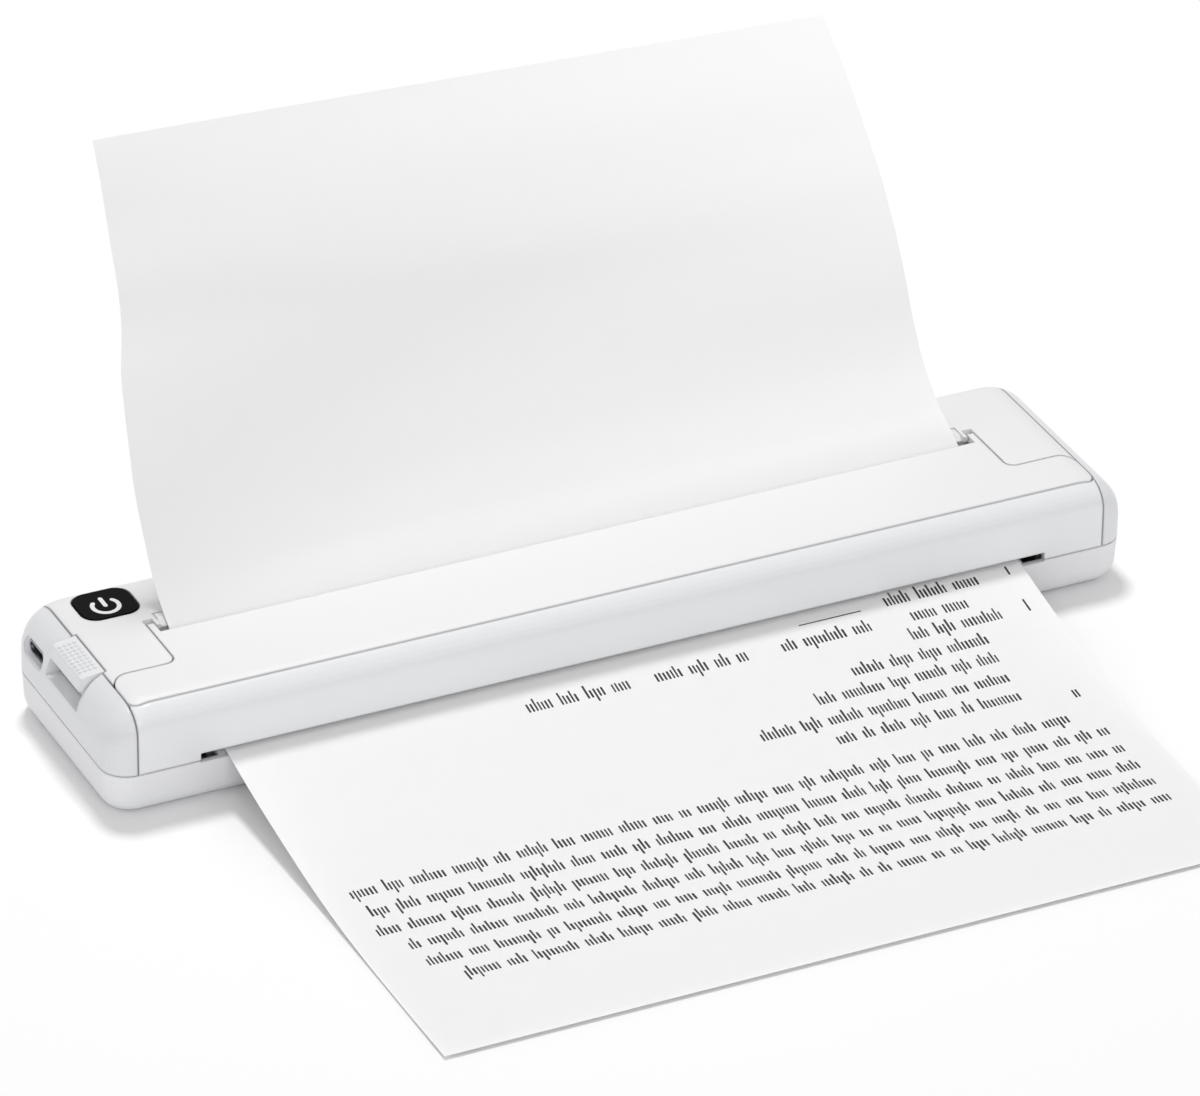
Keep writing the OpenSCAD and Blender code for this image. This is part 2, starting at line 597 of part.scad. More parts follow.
// involute gear: tooth 0 points along +X, the flanks follow the base circle's involute
press_a = 25;
function inv(a) = tan(a) * 180 / PI - a;
function half_tooth(t, r) = (90 / t - backlash / (gear_m * t) * 180 / PI) + inv(press_a)
    - inv(acos(min(1, gear_m * t / 2 * cos(press_a) / r)));
function gear_points(t) = let (rp = gear_m * t / 2, rb = rp * cos(press_a), r0 = rp - 1.02 * gear_m,
    r1 = max(r0 + 0.02, rb), r3 = rp + 0.78 * gear_m, r2 = (r1 + r3) / 2)
    [for (i = [0:t - 1]) let (c = i * 360 / t) each concat(
        [for (r = [r0, r1, r2, r3]) let (a = c - half_tooth(t, max(r, r1))) [r * cos(a), r * sin(a)]],
        [for (r = [r3, r2, r1, r0]) let (a = c + half_tooth(t, max(r, r1))) [r * cos(a), r * sin(a)]])];
// gear on an axis along X, tooth 0 turned to the angle a in the YZ plane
module gear(t, x, y, z, a, w = gear_w) translate([x, y, z]) rotate([90, 0, 90]) rotate([0, 0, a])
    linear_extrude(w) polygon(gear_points(t));

module platen_gear() color("#e8e6df") difference() {
    gear(platen_teeth, gear_x, platen_y, platen_z, idler_dir);
    difference() {
        rod(gear_x - 1, gear_x + gear_w + 1, platen_y, platen_z, journal_r);
        span(gear_x - 2, gear_x + gear_w + 2, platen_y - 3, platen_y + 3, platen_z + 1.5, platen_z + 3);
    }
    // lightening holes
    for (a = [30:60:330]) translate([0, 3.9 * cos(a), 3.9 * sin(a)])
        rod(gear_x - 1, gear_x + gear_w + 1, platen_y, platen_z, 0.9);
}

module idler_gear() color("#e8e6df") difference() {
    union() {
        gear(idler_teeth[0], gear_x, idler_y, idler_z, idler_dir + 180 + 180 / idler_teeth[0],
            gear_w + wheel_gap);
        gear(idler_teeth[1], gear_x + gear_w + wheel_gap, idler_y, idler_z, pinion_dir);
    }
    rod(gear_x - 1, gear_x + 2 * gear_w + 2, idler_y, idler_z, axle_r + run_gap);
    // lightening holes
    for (a = [0:60:300]) translate([0, 5.9 * cos(a), 5.9 * sin(a)])
        rod(gear_x + gear_w, gear_x + 2 * gear_w + 2, idler_y, idler_z, 1.5);
}

module idler_axle() color("#c6c9cd") union() {
    rod(frame_x, gear_x + 2 * gear_w + 1.2, idler_y, idler_z, axle_r);
    rod(gear_x + 2 * gear_w + 0.7, gear_x + 2 * gear_w + 1.3, idler_y, idler_z, 1.8);
    rod(frame_x + frame_t, gear_x - 0.3, idler_y, idler_z, 1.9);
}

module motor_pinion() color("#c9a24a") union() {
    gear(pinion_teeth, gear_x + gear_w + wheel_gap, pinion_y, pinion_z,
        pinion_dir + 180 + 180 / pinion_teeth);
    rod(frame_x - 2, gear_x + gear_w + wheel_gap + 0.1, pinion_y, pinion_z, 1);
}

module stepper_motor() color("#aeb2b6") difference() {
    union() {
        rod(frame_x - motor_l, frame_x, pinion_y, pinion_z, motor_r);
        rod(frame_x - 0.1, frame_x + frame_t, pinion_y, pinion_z, 3.4);
        span(frame_x - motor_l + 4, frame_x - motor_l + 10, pinion_y - 3, pinion_y + 3,
            pinion_z - motor_r - 1.2, pinion_z);
    }
    rod(frame_x - 3, frame_x + 4, pinion_y, pinion_z, 1 + run_gap);
}

// ---- power and electronics -----------------------------------------------------------

module battery_cells() color("#3c8f6a") for (s = [0, 1])
    translate([pack_x - 1.5 - cell_l + s * (cell_l + 3), cell_y, cell_z]) rotate([0, 90, 0])
        rotate_extrude() polygon([[0, 0], [cell_r - 0.8, 0], [cell_r, 0.8], [cell_r, cell_l - 3.2],
            [cell_r - 0.6, cell_l - 2.7], [cell_r, cell_l - 2.2], [cell_r, cell_l - 1.8],
            [cell_r - 0.8, cell_l - 1], [3, cell_l - 1], [3, cell_l], [0, cell_l]]);

module battery_holder() color("#2f3134") translate([pack_x, 0, 0]) difference() {
    union() {
        span(-cell_l - 4, cell_l + 5, cell_y - 8, cell_y + 6.6, wall, cell_z - 3);
        for (x = [-cell_l - 3.2, -0.9, cell_l + 2.6])
            span(x, x + 1.3, cell_y - 8, cell_y + 6.6, wall, cell_z + 5);
    }
    rod(-cell_l - 1.8, -1.1, cell_y, cell_z, cell_r + 0.25);
    rod(0.6, cell_l + 2.4, cell_y, cell_z, cell_r + 0.25);
}

module main_board() color("#2f6b46") difference() {
    translate([0, 0, board_z - board_t]) linear_extrude(board_t) polygon([
        [board_x, board_y], [board_x, board_y + board_d],
        [tongue_x, board_y + board_d], [tongue_x, usb_y + tongue_half],
        [-hl + 3.4, usb_y + tongue_half], [-hl + 3.4, usb_y - tongue_half],
        [-cap_x + 2.6, usb_y - tongue_half], [-cap_x + 2.6, board_y]]);
    for (p = stud_at) translate([p[0], p[1], board_z - 3]) cylinder(h = 5, r = 1.05);
    for (p = screw_at) translate([p[0], p[1], board_z - 3]) cylinder(h = 5, r = 3.1);
}

module board_chips() color("#1d1f22") translate([28 - hl, board_y, board_z]) {
    span(7.5, 16.5, 3, 12, 0, 1.2);
    span(18, 22.5, 2, 6.5, 0, 0.9);
    span(0, 5, 1, 4.5, 0, 1.8);
    translate([0.5, 8, 0]) cylinder(h = 3.4, r = 2.1);
    span(8.5, 14.5, 14.6, 18.6, 0, 2.6);
    for (i = [0:5]) span(i * 2 - 11.5, i * 2 - 10.5, 0.8, 2.4, 0, 0.6);
}

module usb_socket() color("#b9bdc2") translate([-hl + 1.3, usb_y, usb_z]) rotate([90, 0, 90]) {
    difference() {
        linear_extrude(7.3) rrect(usb_size[0], usb_size[1], usb_size[1] / 2 - 0.01);
        translate([0, 0, -1]) linear_extrude(7.4)
            rrect(usb_size[0] - 0.6, usb_size[1] - 0.6, usb_size[1] / 2 - 0.31);
    }
    translate([0, 0, 1]) linear_extrude(5.5) square([6.7, 0.7], center = true);
}

module tact_switch() color("#34363a") difference() {
    translate([button_x, button_y, board_z]) translate([-3, -3, 0]) cube([6, 6, 3.4]);
    translate([button_x, button_y, board_z + 1]) cylinder(h = 4, r = 1.7);
}

module switch_plunger() color("#d8d5cc") translate([button_x, button_y, board_z + 1 + button_travel + 0.2])
    cylinder(h = 3.4 - 1 - 0.2, r = 1.65);

module power_button() color("#101113") translate([button_x, button_y, 0]) {
    z0 = board_z + 3.4 + button_travel;
    difference() {
        translate([0, 0, roof_z - 1.6]) linear_extrude(body_h + 0.15 - roof_z + 1.6)
            rrect(button_size[0], button_size[1], 3.8);
        translate([0, 0, roof_z - 2]) linear_extrude(2)
            rrect(button_size[0] - 2.4, button_size[1] - 2.4, 2.6);
    }
    translate([0, 0, roof_z - 2]) linear_extrude(1) rrect(button_size[0] + 1.3, button_size[1] + 1.3, 4.4);
    translate([0, 0, z0]) cylinder(h = body_h - z0 - 0.4, r = 2.2);
}

// ---- latch ---------------------------------------------------------------------------

module latch_button() color("#d9dbdd") {
    y0 = latch_y - latch_len / 2;
    y1 = latch_y + latch_len / 2;
    x0 = -cap_x + 0.6;
    z1 = body_h - 0.7;
    cross(y0, y1, [[x0, z1], [-hl + 2.4, z1 - 0.65], [-hl + 1.75, z1 - 0.95], [-hl + 0.8, z1 - 3.6],
        [-hl + 1, z1 - 4.1], [-hl + 3.4, z1 - 4.2], [-hl + 3.8, latch_z + 0.4],
        [x0 - 0.8, latch_z + 0.4], [x0 - 0.8, z1 - 1.6], [x0, z1 - 1.6]]);
    // grip: rows of small raised dots
    for (i = [0:3], j = [0:8]) translate([x0 - 1.3 - i * 1.25, latch_y + (j - 4) * 1.55, z1 - 1.2])
        cylinder(h = 1.34 - 0.14 * i, r = 0.4, $fn = 16);
    // hook that reaches forward beside the cover's skirt
    span(-cap_x - 1.6, -cap_x - 0.5, hook_y[0] - 0.6, y0 + 0.1, hook_z[0], hook_z[1]);
    span(-cap_x - 1, -cap_x - 0.1, hook_y[0], hook_y[1], hook_z[0], hook_z[1]);
}

module latch_spring() color("#c6c9cd") {
    // flat spring strip against the deck's end wall
    x = -cap_x + half_seam;
    cross(latch_y - 3, latch_y + 3,
        [[x, latch_z + 0.8], [x - 0.25, latch_z + 0.8], [x - 0.25, roof_z - 3.2], [x, roof_z - 3.2]]);
}

// ---- paper ---------------------------------------------------------------------------

module paper_sheet() color("#f2f3f5") {
    inner = smooth(inner_path, 2);
    mid = [for (i = [1:len(inner) - 2]) inner[i]];
    front = concat(smooth(concat(front_path, [outlet_pt]), 2), mid);
    left = concat(front, smooth(concat([inlet_pt], left_path), 3));
    right = concat(front, smooth(concat([inlet_pt], right_path), 3));
    n = len(left);
    m = 5;
    c = [for (k = [0:n - 1]) [for (j = [0:m]) left[k] + (right[k] - left[k]) * j / m]];
    side = [for (k = [0:n - 1]) [for (j = [0:m])
        let (d = c[min(n - 1, k + 1)][j] - c[max(0, k - 1)][j]) [-d[1], d[0]] / norm(d)]];
    pts = [for (s = [1, -1], k = [0:n - 1], j = [0:m]) let (q = c[k][j] + side[k][j] * s * paper_t / 2)
        [paper_w * (j / m - 0.5), q[0], q[1]]];
    b = n * (m + 1);
    polyhedron(points = pts, faces = concat(
        [for (k = [0:n - 2], j = [0:m - 1]) let (i = k * (m + 1) + j) each [
            [i, i + m + 1, i + m + 2], [i, i + m + 2, i + 1],
            [b + i, b + i + m + 2, b + i + m + 1], [b + i, b + i + 1, b + i + m + 2]]],
        [for (k = [0:n - 2]) let (i = k * (m + 1), e = i + m) each [
            [i, b + i, b + i + m + 1], [i, b + i + m + 1, i + m + 1],
            [e, b + e + m + 1, b + e], [e, e + m + 1, b + e + m + 1]]],
        [for (j = [0:m - 1]) let (e = (n - 1) * (m + 1) + j) each [
            [j, j + 1, b + j + 1], [j, b + j + 1, b + j],
            [e, b + e + 1, e + 1], [e, b + e, b + e + 1]]]));
}

lower_shell();
rear_deck();
left_end_cap();
right_end_cap();
rubber_feet();
case_screws();
cover_top();
front_panel();
cover_frame();
tear_bar();
hinge_pins();
head_plate();
head_ceramic();
head_cable();
left_side_frame();
right_side_frame();
frame_screws();
paper_guide();
paper_sensor();
platen_shaft();
platen_rubber();
platen_gear();
platen_bushes();
idler_gear();
idler_axle();
motor_pinion();
stepper_motor();
battery_cells();
battery_holder();
main_board();
board_chips();
usb_socket();
tact_switch();
switch_plunger();
power_button();
latch_button();
latch_spring();
paper_sheet();
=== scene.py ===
import json
import math
import random

import bmesh
import bpy
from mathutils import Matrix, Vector

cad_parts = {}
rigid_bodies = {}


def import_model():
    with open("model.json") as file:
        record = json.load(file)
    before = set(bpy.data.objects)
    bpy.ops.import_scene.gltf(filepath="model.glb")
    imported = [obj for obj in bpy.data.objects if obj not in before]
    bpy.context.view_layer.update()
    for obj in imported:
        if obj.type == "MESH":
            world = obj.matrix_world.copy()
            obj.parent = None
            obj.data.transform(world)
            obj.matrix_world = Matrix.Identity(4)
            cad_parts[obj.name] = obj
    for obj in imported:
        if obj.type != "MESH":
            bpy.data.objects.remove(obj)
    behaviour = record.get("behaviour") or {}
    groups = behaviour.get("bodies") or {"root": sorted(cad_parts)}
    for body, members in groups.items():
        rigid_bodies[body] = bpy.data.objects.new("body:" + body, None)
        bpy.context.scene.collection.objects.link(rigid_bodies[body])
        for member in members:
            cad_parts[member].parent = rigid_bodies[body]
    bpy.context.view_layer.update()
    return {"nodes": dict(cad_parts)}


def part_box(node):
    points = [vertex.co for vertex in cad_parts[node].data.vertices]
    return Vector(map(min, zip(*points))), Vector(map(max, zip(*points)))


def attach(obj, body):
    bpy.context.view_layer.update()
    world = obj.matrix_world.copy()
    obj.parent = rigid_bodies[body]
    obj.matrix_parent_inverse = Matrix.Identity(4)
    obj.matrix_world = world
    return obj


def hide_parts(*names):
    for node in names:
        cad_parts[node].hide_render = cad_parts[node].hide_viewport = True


for leftover in list(bpy.data.objects):  # whatever the session starts with
    bpy.data.objects.remove(leftover)

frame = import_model()
nodes = frame["nodes"]
mm = 0.001  # every size below is in millimetres and times this
print("frame loaded,", len(nodes), "nodes")


# camera: the photograph's angle, from the left and a little above
viewpoint = dict(place=(-0.81615470, -1.67387070, 1.13068175), turn=(59.32158, -0.81276, -25.67386),
                 lens=270.56, sensor=36, near=0.1, far=30)
eye = bpy.data.cameras.new("photoAngle")
eye.lens = viewpoint["lens"]
eye.sensor_width = viewpoint["sensor"]
eye.clip_start, eye.clip_end = viewpoint["near"], viewpoint["far"]
camera = bpy.data.objects.new("photoAngle", eye)
camera.location = viewpoint["place"]
camera.rotation_euler = [math.radians(a) for a in viewpoint["turn"]]
bpy.context.scene.collection.objects.link(camera)
bpy.context.scene.camera = camera


def toLinear(code):  # sRGB hex to the linear values that shaders take
    parts = [int(code[i:i + 2], 16) / 255 for i in (1, 3, 5)]
    return [c / 12.92 if c <= 0.04045 else ((c + 0.055) / 1.055) ** 2.4 for c in parts] + [1.0]


def addNode(tree, kind, settings=None, links=None):
    node = tree.nodes.new(kind)
    for key, value in (settings or {}).items():
        if isinstance(key, str) and hasattr(node, key):
            setattr(node, key, value)
        else:
            node.inputs[key].default_value = value
    for key, source in (links or {}).items():
        tree.links.new(source, node.inputs[key])
    return node


# the same on every surface: detail of the clouding and the grain, the part of the grain's range
# that changes the roughness, the bump's strength and the samples that round an edge
surface = dict(cloudDetail=3.0, grainDetail=2.0, grainLow=0.3, grainHigh=0.7, bump=0.6, edgeSamples=6)
sockets = dict(metallic="Metallic", ior="IOR", specular="Specular IOR Level", sheen="Sheen Weight",
               coat="Coat Weight", coatRoughness="Coat Roughness", through="Subsurface Weight")


def makeFinish(name, look):
    # look: two close colours and the size of their clouding, the grain's size and depth,
    # how the grain is drawn out along x, y and z, roughness from and to, and the edge's rounding
    material = bpy.data.materials.new(name)
    material.use_nodes = True
    tree = material.node_tree
    shader = tree.nodes["Principled BSDF"]
    for key, socket in sockets.items():
        if key in look:
            shader.inputs[socket].default_value = look[key]
    if "wander" in look:  # how far light travels inside
        shader.inputs["Subsurface Radius"].default_value = (1, 1, 1)
        shader.inputs["Subsurface Scale"].default_value = look["wander"] * mm
    place = addNode(tree, "ShaderNodeTexCoord")
    drawn = addNode(tree, "ShaderNodeMapping", {"Scale": look.get("drawn", (1, 1, 1))},
                    {"Vector": place.outputs["Object"]})
    cloud = addNode(tree, "ShaderNodeTexNoise",
                    {"Scale": 1 / (look["cloud"] * mm), "Detail": surface["cloudDetail"]},
                    {"Vector": place.outputs["Object"]})
    one, other = [toLinear(code) for code in look["colours"]]
    tint = addNode(tree, "ShaderNodeMix", {"data_type": "RGBA", 6: one, 7: other},
                   {0: cloud.outputs["Fac"]})
    tree.links.new(tint.outputs[2], shader.inputs["Base Color"])
    if look.get("grainKind") == "cells":
        grain = addNode(tree, "ShaderNodeTexVoronoi", {"Scale": 1 / (look["grain"] * mm)},
                        {"Vector": drawn.outputs["Vector"]})
        height = grain.outputs["Distance"]
    else:
        grain = addNode(tree, "ShaderNodeTexNoise",
                        {"Scale": 1 / (look["grain"] * mm), "Detail": surface["grainDetail"]},
                        {"Vector": drawn.outputs["Vector"]})
        height = grain.outputs["Fac"]
    low, high = look["roughness"]
    polish = addNode(tree, "ShaderNodeMapRange",
                     {"From Min": surface["grainLow"], "From Max": surface["grainHigh"],
                      "To Min": low, "To Max": high},
                     {"Value": height})
    tree.links.new(polish.outputs["Result"], shader.inputs["Roughness"])
    edge = addNode(tree, "ShaderNodeBevel",
                   {"samples": surface["edgeSamples"], "Radius": look["edge"] * mm})
    bump = addNode(tree, "ShaderNodeBump", {"Strength": surface["bump"], "Distance": look["relief"] * mm},
                   {"Height": height, "Normal": edge.outputs["Normal"]})
    tree.links.new(bump.outputs["Normal"], shader.inputs["Normal"])
    return material


# finishes of the CAD nodes, by the record's slots
finishes = {
    # ABS, moulded in a spark-eroded tool: a satin white skin that shows no clear reflection
    "housing_white": dict(name="absMouldedWhite", colours=("#ebebec", "#e8e8e9"), cloud=60, grain=0.8,
                          relief=0.010, roughness=(0.40, 0.50), ior=1.53, edge=0.8),
    # ABS from the same tool makers with a finer spark, so the curved front holds a long soft light; its
    # colour is a little lighter than the deck's: painted light that lifts the front panel's tone
    "panel_white": dict(name="absPanelPaintedLight", colours=("#eeeff0", "#ebeced"), cloud=50, grain=0.7,
                        relief=0.006, roughness=(0.28, 0.35), ior=1.53, edge=0.8),
    # ABS end caps, coloured a little darker than the deck: painted shade, standing in for the shade on the
    # printer's ends. ABS end caps, a shade cooler than the deck because another tool and batch made them
    "cap_grey": dict(name="absCapPaintedShade", colours=("#e5e6e8", "#e2e3e5"), cloud=30, grain=0.7,
                     relief=0.006, roughness=(0.30, 0.36), ior=1.53, edge=0.8),
    # ABS tray with a coarser spark, dull where hands and tables rub; its colour is a little lighter than
    # the deck's: painted light that lifts the tray's tone
    "tray_white": dict(name="absTrayPaintedLight", colours=("#edeeef", "#e9e9eb"), cloud=45, grain=0.9,
                       relief=0.014, roughness=(0.46, 0.56), ior=1.53, edge=0.8),
    # ABS latch slide, polished by the thumb on its grip dots
    "latch_grey": dict(name="absMouldedLatch", colours=("#e9eaeb", "#e5e6e7"), cloud=12, grain=0.6,
                       relief=0.006, roughness=(0.30, 0.38), ior=1.53, edge=0.15),
    # polycarbonate key, moulded satin and dyed through: near black, hardly any highlight
    "key_black": dict(name="polycarbonateSatinBlack", colours=("#060607", "#0a0a0b"), cloud=8,
                      grain=0.7, relief=0.006, roughness=(0.34, 0.42), ior=1.585, specular=0.05,
                      edge=0.35),
    # natural rubber pad, cast: dull, dusty black
    "foot_rubber": dict(name="castRubberFoot", colours=("#2a2a2b", "#343435"), cloud=5, grain=0.6,
                        relief=0.03, roughness=(0.75, 0.9), ior=1.52, sheen=0.15, edge=0.3),
    # silicone rubber, ground to size: fine rings round the roller
    "roller_rubber": dict(name="groundSiliconeRoller", colours=("#1d1d1f", "#26262a"), cloud=14,
                          grain=0.5, relief=0.02, drawn=(1, 0.08, 0.08), roughness=(0.5, 0.65),
                          ior=1.43, edge=0.2),
    # zinc-plated steel screw heads: bright grey with a faint blue cast
    "screw_steel": dict(name="zincPlatedScrew", colours=("#b6bac0", "#a5aab2"), cloud=2, grain=0.5,
                        relief=0.006, roughness=(0.28, 0.42), metallic=1.0, edge=0.12),
    # steel shaft, centreless ground: bright, with rings too fine to count, drawn coarser here
    "shaft_steel": dict(name="groundSteelShaft", colours=("#c9cbce", "#bfc1c5"), cloud=6, grain=0.5,
                        relief=0.004, drawn=(1, 0.1, 0.1), roughness=(0.18, 0.3), metallic=1.0,
                        edge=0.15),
    # galvanised sheet, rolled and pressed: dull spangle of about 3 mm
    "sheet_steel": dict(name="galvanisedSheet", colours=("#b4b7ba", "#9fa3a7"), cloud=3, grain=3.0,
                        grainKind="cells", relief=0.008, roughness=(0.32, 0.5), metallic=1.0,
                        edge=0.15),
    # acetal, moulded: slightly waxy off-white for guides and frames
    "bracket_white": dict(name="acetalMouldedFrame", colours=("#dfe0df", "#d7d8d8"), cloud=25,
                          grain=0.8, relief=0.010, roughness=(0.38, 0.48), ior=1.48, edge=0.3),
    # spring steel, blanked and brushed along its length
    "tear_steel": dict(name="brushedSpringSteel", colours=("#c7cacd", "#b5b8bc"), cloud=9, grain=0.5,
                       relief=0.006, drawn=(0.06, 1, 1), roughness=(0.25, 0.4), metallic=1.0, edge=0.1),
    # aluminium, extruded then milled: long light streaks
    "head_aluminium": dict(name="milledAluminium", colours=("#cdd0d3", "#bdc0c4"), cloud=12, grain=0.6,
                           relief=0.008, drawn=(0.05, 1, 1), roughness=(0.3, 0.44), metallic=1.0,
                           edge=0.2),
    # alumina, fired and glazed: warm white glass-like skin
    "head_ceramic": dict(name="glazedAlumina", colours=("#e9e6dd", "#dfdbd0"), cloud=20, grain=2.0,
                         relief=0.003, roughness=(0.1, 0.18), ior=1.76, coat=0.4, coatRoughness=0.06,
                         edge=0.15),
    # polyimide film with copper under it: amber with long darker lanes
    "cable_film": dict(name="polyimideFilm", colours=("#b8681f", "#8f4b17"), cloud=1.2, grain=1.0,
                       relief=0.01, drawn=(1, 0.03, 0.03), roughness=(0.24, 0.36), ior=1.7, edge=0.05),
    # acetal gears, moulded: soft milky surface
    "gear_nylon": dict(name="acetalMouldedGear", colours=("#efede4", "#e6e3d8"), cloud=6, grain=0.5,
                       relief=0.006, roughness=(0.36, 0.48), ior=1.48, edge=0.08),
    # brass, hobbed: warm and bright on the flanks
    "gear_brass": dict(name="hobbedBrass", colours=("#c9a556", "#b48c3e"), cloud=3, grain=0.4,
                       relief=0.005, roughness=(0.22, 0.34), metallic=1.0, edge=0.06),
    # glass-filled nylon bush: dull black
    "bush_black": dict(name="filledNylonBush", colours=("#1c1d1f", "#27282a"), cloud=4, grain=0.5,
                       relief=0.01, roughness=(0.45, 0.6), ior=1.53, edge=0.1),
    # motor can, deep drawn and zinc plated: grey, vertical draw lines
    "motor_steel": dict(name="drawnMotorCan", colours=("#a9adb1", "#95999e"), cloud=6, grain=0.6,
                        relief=0.006, drawn=(0.08, 1, 1), roughness=(0.3, 0.45), metallic=1.0,
                        edge=0.3),
    # PVC sleeve, heat shrunk on the cells: smooth green with small wrinkles
    "cell_wrap": dict(name="shrunkVinylSleeve", colours=("#2f8a63", "#277a56"), cloud=18, grain=5.0,
                      relief=0.05, drawn=(0.3, 1, 1), roughness=(0.22, 0.34), ior=1.54, edge=0.4),
    # glass-filled nylon holder: black with a grey bloom
    "holder_black": dict(name="filledNylonHolder", colours=("#202123", "#2c2d30"), cloud=10, grain=0.7,
                         relief=0.014, roughness=(0.48, 0.62), ior=1.53, edge=0.3),
    # solder mask over glass epoxy, screen printed and cured: deep glossy green with copper lanes under it
    "board_green": dict(name="solderMaskGreen", colours=("#0f5a34", "#17703f"), cloud=1.6, grain=1.4,
                        grainKind="cells", relief=0.02, roughness=(0.2, 0.34), ior=1.55, coat=0.3,
                        coatRoughness=0.06, edge=0.1),
    # moulding compound on the chips: fine matt black
    "chip_black": dict(name="epoxyChipBody", colours=("#1b1c1e", "#242528"), cloud=3, grain=0.3,
                       relief=0.006, roughness=(0.42, 0.55), ior=1.57, edge=0.08),
    # stainless shell, pressed: bright with soft edges
    "socket_steel": dict(name="pressedStainless", colours=("#c4c7ca", "#b2b5b9"), cloud=3, grain=0.5,
                         relief=0.005, roughness=(0.24, 0.38), metallic=1.0, edge=0.1),
    # acetal plunger, moulded
    "plunger_white": dict(name="acetalPlunger", colours=("#e6e4dd", "#dcdad2"), cloud=3, grain=0.5,
                          relief=0.006, roughness=(0.4, 0.5), ior=1.48, edge=0.1),
}
made = {slot: makeFinish(look["name"], look) for slot, look in finishes.items()}
for name, node in nodes.items():
    for slot in node.material_slots:
        if slot.material and slot.material.name in made:
            slot.material = made[slot.material.name]
print("finishes on the frame:", len(made))


def makePiece(name, bm, material, body, smooth=None):
    mesh = bpy.data.meshes.new(name)
    bm.normal_update()
    bm.to_mesh(mesh)
    bm.free()
    piece = bpy.data.objects.new(name, mesh)
    bpy.context.scene.collection.objects.link(piece)
    mesh.materials.append(material)
    if smooth is not None:
        for face in mesh.polygons:
            face.use_smooth = True
        mesh.set_sharp_from_angle(angle=math.radians(smooth))
    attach(piece, body)
    return piece


# the sheet: plain paper 210 mm wide, fed in over the rear deck and out under the front lip
sheet = dict(width=210, length=280, thick=0.10, across=48, steps=6, looseFrom=12,
             swell=1.1, swellAcross=1.6, swellAlong=0.7, wave=0.55, waveTurns=21, waveFade=9, waveRise=4,
             front=[(-151.0, 0.75), (-141.0, 0.6), (-128.0, 0.5), (-112.1, 0.55), (-95.1, 1.2),
                    (-78.1, 2.9), (-62.1, 5.4), (-48.1, 8.0), (-36.3, 10.6)],
             inside=[(-29.8, 12.2), (-22.655, 12.93), (-16.055, 14.78), (-8.555, 18.13), (-2.6, 22.3),
                     (3.4, 27.0)],
             leftEdge=[(8.3, 30.6), (13.4, 35.9), (19.2, 44.7), (24.4, 55.7), (29.2, 67.7), (31.4, 80.7),
                       (31.7, 94.7), (34.6, 108.7), (39.8, 122.7), (46.8, 137.2)],
             rightEdge=[(9.0, 30.2), (15.8, 34.0), (23.0, 40.8), (28.8, 49.6), (34.3, 60.0), (41.0, 70.2),
                        (48.7, 79.8), (57.9, 88.8), (68.4, 98.4), (82.2, 108.9)])


def smoothLine(points, steps):  # Catmull-Rom through the points, ends doubled
    padded = [points[0]] + list(points) + [points[-1]]
    line = []
    for i in range(len(points) - 1):
        a, b, c, d = padded[i:i + 4]
        for k in range(steps):
            t = k / steps
            line.append(tuple(0.5 * (2 * b[n] + (c[n] - a[n]) * t
                                     + (2 * a[n] - 5 * b[n] + 4 * c[n] - d[n]) * t * t
                                     + (3 * b[n] - a[n] - 3 * c[n] + d[n]) * t ** 3) for n in (0, 1)))
    return line + [points[-1]]


frontLine = smoothLine(sheet["front"] + [sheet["inside"][0]], sheet["steps"])
insideLine = smoothLine(sheet["inside"], sheet["steps"])[1:-1]
outLine = frontLine + insideLine  # straight across, from the front edge to the platen
leftLine = outLine + smoothLine([sheet["inside"][-1]] + sheet["leftEdge"], sheet["steps"])
rightLine = outLine + smoothLine([sheet["inside"][-1]] + sheet["rightEdge"], sheet["steps"])
looseRow = len(outLine) + sheet["looseFrom"]  # above this row nothing holds the paper


def sheetGrid():
    count, across = len(leftLine), sheet["across"]
    grid = []
    for i in range(count):
        rear = max(0.0, (i - looseRow) / (count - 1 - looseRow))
        row = []
        for j in range(across + 1):
            u = j / across
            y = leftLine[i][0] * (1 - u) + rightLine[i][0] * u
            z = leftLine[i][1] * (1 - u) + rightLine[i][1] * u
            # loose paper: a broad swell over the rear half and small waves down its left edge
            lean = u * sheet["swellAcross"] + rear * sheet["swellAlong"]
            swell = sheet["swell"] * math.sin(math.pi * rear) * math.sin(math.pi * lean)
            waves = sheet["wave"] * math.sin(rear * sheet["waveTurns"]) * math.exp(-u * sheet["waveFade"])
            y -= swell + waves * min(1.0, rear * sheet["waveRise"])
            row.append(Vector((sheet["width"] * (u - 0.5), y, z)) * mm)
        grid.append(row)
    return grid


def sheetSolid(grid, thick):
    bm = bmesh.new()
    rows, columns = len(grid), len(grid[0])
    layers = []
    for side in (0.5, -0.5):
        layer = []
        for i in range(rows):
            line = []
            for j in range(columns):
                along = grid[min(i + 1, rows - 1)][j] - grid[max(i - 1, 0)][j]
                over = grid[i][min(j + 1, columns - 1)] - grid[i][max(j - 1, 0)]
                normal = over.cross(along).normalized()
                line.append(bm.verts.new(grid[i][j] + normal * thick * side))
            layer.append(line)
        layers.append(layer)
    top, under = layers
    for i in range(rows - 1):
        for j in range(columns - 1):
            bm.faces.new((top[i][j], top[i][j + 1], top[i + 1][j + 1], top[i + 1][j]))
            bm.faces.new((under[i][j], under[i + 1][j], under[i + 1][j + 1], under[i][j + 1]))
    for i in range(rows - 1):
        bm.faces.new((top[i][0], top[i + 1][0], under[i + 1][0], under[i][0]))
        bm.faces.new((top[i + 1][-1], top[i][-1], under[i][-1], under[i + 1][-1]))
    for j in range(columns - 1):
        bm.faces.new((top[0][j + 1], top[0][j], under[0][j], under[0][j + 1]))
        bm.faces.new((top[-1][j], top[-1][j + 1], under[-1][j + 1], under[-1][j]))
    return bm


